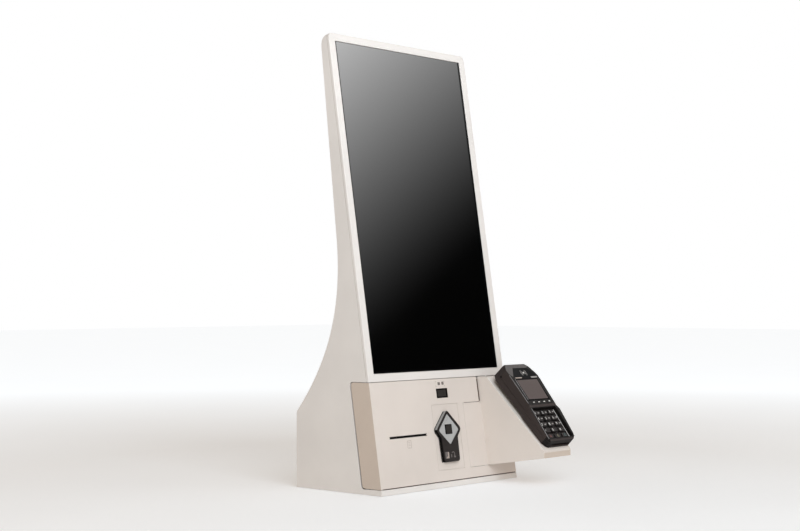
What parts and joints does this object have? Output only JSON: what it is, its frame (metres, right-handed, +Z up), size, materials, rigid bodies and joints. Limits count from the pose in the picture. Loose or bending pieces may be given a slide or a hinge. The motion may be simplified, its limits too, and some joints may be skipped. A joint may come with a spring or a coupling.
{
  "type": "touchscreen kiosk",
  "caption": "Countertop self-service kiosk: leaning portrait touchscreen on a curved cabinet, with receipt slot, contactless reader, scanner and card terminal.",
  "frame": {"origin": "on the surface the kiosk stands on, under the centre of its bounding box", "axes": "+Z up, -Y towards the customer, +X to the customer's right; the card terminal is on the +X side"},
  "size_m": [0.391, 0.3482, 0.8277],
  "materials": {
    "shell_white": "warm white, fine matte texture",
    "door_beige": "warm beige satin powder coat",
    "black_plastic": "black, satin",
    "terminal_case": "brown-black, fine texture",
    "black_glass": "black gloss",
    "key_plastic": "dark grey, satin",
    "reader_grey": "light grey satin",
    "panel": "black",
    "steel": "zinc-plated steel",
    "alloy": "natural aluminium",
    "circuit_board": "green solder mask",
    "rubber": "black rubber",
    "paper": "white thermal paper"
  },
  "bodies": {
    "cabinet": {"touch_glass": "black_glass", "lcd_panel": "panel", "panel_frame": "steel", "main_board": "circuit_board", "heat_sink": "alloy", "base_plate": "shell_white", "foot_front_left": "rubber", "foot_front_right": "rubber", "foot_rear_left": "rubber", "foot_rear_right": "rubber", "left_wall": "shell_white", "right_wall": "shell_white", "rear_housing": "shell_white", "front_bezel": "shell_white", "rear_cover": "shell_white", "power_supply": "alloy", "ac_inlet": "black_plastic", "lower_hinge": "steel", "upper_hinge": "steel", "printer_body": "black_plastic", "print_head": "steel", "terminal_bracket": "door_beige", "support_post": "steel", "terminal_base": "terminal_case", "terminal_cover": "terminal_case", "terminal_lens": "black_glass", "keypad_tray": "black_plastic", "terminal_mount": "black_plastic"},
    "door": {"service_door": "door_beige", "reader_plate": "door_beige", "reader_bezel": "black_plastic", "reader_window": "reader_grey", "reader_eye": "black_glass", "scan_window": "black_glass", "scan_engine": "black_plastic", "lock_barrel": "alloy"},
    "lock_cam": {"lock_cam": "alloy"},
    "printer_lid": {"printer_lid": "black_plastic"},
    "platen_roller": {"platen_roller": "rubber"},
    "paper_roll": {"paper_roll": "paper"},
    "power_switch": {"power_switch": "black_plastic"},
    "key_1": {"key_1": "key_plastic"},
    "key_2": {"key_2": "key_plastic"},
    "key_3": {"key_3": "key_plastic"},
    "key_4": {"key_4": "key_plastic"},
    "key_5": {"key_5": "key_plastic"},
    "key_6": {"key_6": "key_plastic"},
    "key_7": {"key_7": "key_plastic"},
    "key_8": {"key_8": "key_plastic"},
    "key_9": {"key_9": "key_plastic"},
    "key_star": {"key_star": "key_plastic"},
    "key_0": {"key_0": "key_plastic"},
    "key_hash": {"key_hash": "key_plastic"},
    "key_cancel": {"key_cancel": "key_plastic"},
    "key_clear": {"key_clear": "key_plastic"},
    "key_enter": {"key_enter": "key_plastic"},
    "soft_key_1": {"soft_key_1": "key_plastic"},
    "soft_key_2": {"soft_key_2": "key_plastic"},
    "soft_key_3": {"soft_key_3": "key_plastic"},
    "soft_key_4": {"soft_key_4": "key_plastic"}
  },
  "joints": [
    {"name": "door_hinge", "type": "hinge", "parent": "cabinet", "child": "door", "pos_m": [-0.19105, 0.01265, 0.09382], "axis": [0, -0.1564, -0.9877], "range_deg": [0, 90]},
    {"name": "door_lock_turn", "type": "hinge", "parent": "door", "child": "lock_cam", "pos_m": [0.17385, -0.01293, 0.0195], "axis": [-1, 0, 0], "range_deg": [0, 90]},
    {"name": "printer_lid_hinge", "type": "hinge", "parent": "cabinet", "child": "printer_lid", "pos_m": [-0.10915, 0.10647, 0.091], "axis": [-1, 0, 0], "range_deg": [0, 60]},
    {"name": "paper_roll_spin", "type": "hinge", "parent": "cabinet", "child": "paper_roll", "pos_m": [-0.10915, 0.05747, 0.0495], "axis": [-1, 0, 0], "continuous": true},
    {"name": "platen_spin", "type": "hinge", "parent": "printer_lid", "child": "platen_roller", "pos_m": [-0.10915, 0.00947, 0.092], "axis": [-1, 0, 0], "continuous": true},
    {"name": "power_switch_rock", "type": "hinge", "parent": "cabinet", "child": "power_switch", "pos_m": [0.13785, 0.17007, 0.037], "axis": [1, 0, 0], "range_deg": [0, 8]},
    {"name": "key_1_press", "type": "slide", "parent": "cabinet", "child": "key_1", "axis": [0, 0.7895, -0.6138], "range_m": [0, 0.0015], "stiffness_N_per_m": 400},
    {"name": "key_2_press", "type": "slide", "parent": "cabinet", "child": "key_2", "axis": [0, 0.7895, -0.6138], "range_m": [0, 0.0015], "stiffness_N_per_m": 400},
    {"name": "key_3_press", "type": "slide", "parent": "cabinet", "child": "key_3", "axis": [0, 0.7895, -0.6138], "range_m": [0, 0.0015], "stiffness_N_per_m": 400},
    {"name": "key_4_press", "type": "slide", "parent": "cabinet", "child": "key_4", "axis": [0, 0.7895, -0.6138], "range_m": [0, 0.0015], "stiffness_N_per_m": 400},
    {"name": "key_5_press", "type": "slide", "parent": "cabinet", "child": "key_5", "axis": [0, 0.7895, -0.6138], "range_m": [0, 0.0015], "stiffness_N_per_m": 400},
    {"name": "key_6_press", "type": "slide", "parent": "cabinet", "child": "key_6", "axis": [0, 0.7895, -0.6138], "range_m": [0, 0.0015], "stiffness_N_per_m": 400},
    {"name": "key_7_press", "type": "slide", "parent": "cabinet", "child": "key_7", "axis": [0, 0.7895, -0.6138], "range_m": [0, 0.0015], "stiffness_N_per_m": 400},
    {"name": "key_8_press", "type": "slide", "parent": "cabinet", "child": "key_8", "axis": [0, 0.7895, -0.6138], "range_m": [0, 0.0015], "stiffness_N_per_m": 400},
    {"name": "key_9_press", "type": "slide", "parent": "cabinet", "child": "key_9", "axis": [0, 0.7895, -0.6138], "range_m": [0, 0.0015], "stiffness_N_per_m": 400},
    {"name": "key_star_press", "type": "slide", "parent": "cabinet", "child": "key_star", "axis": [0, 0.7895, -0.6138], "range_m": [0, 0.0015], "stiffness_N_per_m": 400},
    {"name": "key_0_press", "type": "slide", "parent": "cabinet", "child": "key_0", "axis": [0, 0.7895, -0.6138], "range_m": [0, 0.0015], "stiffness_N_per_m": 400},
    {"name": "key_hash_press", "type": "slide", "parent": "cabinet", "child": "key_hash", "axis": [0, 0.7895, -0.6138], "range_m": [0, 0.0015], "stiffness_N_per_m": 400},
    {"name": "key_cancel_press", "type": "slide", "parent": "cabinet", "child": "key_cancel", "axis": [0, 0.7895, -0.6138], "range_m": [0, 0.0015], "stiffness_N_per_m": 400},
    {"name": "key_clear_press", "type": "slide", "parent": "cabinet", "child": "key_clear", "axis": [0, 0.7895, -0.6138], "range_m": [0, 0.0015], "stiffness_N_per_m": 400},
    {"name": "key_enter_press", "type": "slide", "parent": "cabinet", "child": "key_enter", "axis": [0, 0.7895, -0.6138], "range_m": [0, 0.0015], "stiffness_N_per_m": 400},
    {"name": "soft_key_1_press", "type": "slide", "parent": "cabinet", "child": "soft_key_1", "axis": [0, 0.7692, -0.639], "range_m": [0, 0.0008], "stiffness_N_per_m": 400},
    {"name": "soft_key_2_press", "type": "slide", "parent": "cabinet", "child": "soft_key_2", "axis": [0, 0.7692, -0.639], "range_m": [0, 0.0008], "stiffness_N_per_m": 400},
    {"name": "soft_key_3_press", "type": "slide", "parent": "cabinet", "child": "soft_key_3", "axis": [0, 0.7692, -0.639], "range_m": [0, 0.0008], "stiffness_N_per_m": 400},
    {"name": "soft_key_4_press", "type": "slide", "parent": "cabinet", "child": "soft_key_4", "axis": [0, 0.7692, -0.639], "range_m": [0, 0.0008], "stiffness_N_per_m": 400}
  ],
  "couplings": [
    {"joint": "platen_spin", "follows": "paper_roll_spin", "ratio": 6.3333}
  ]
}
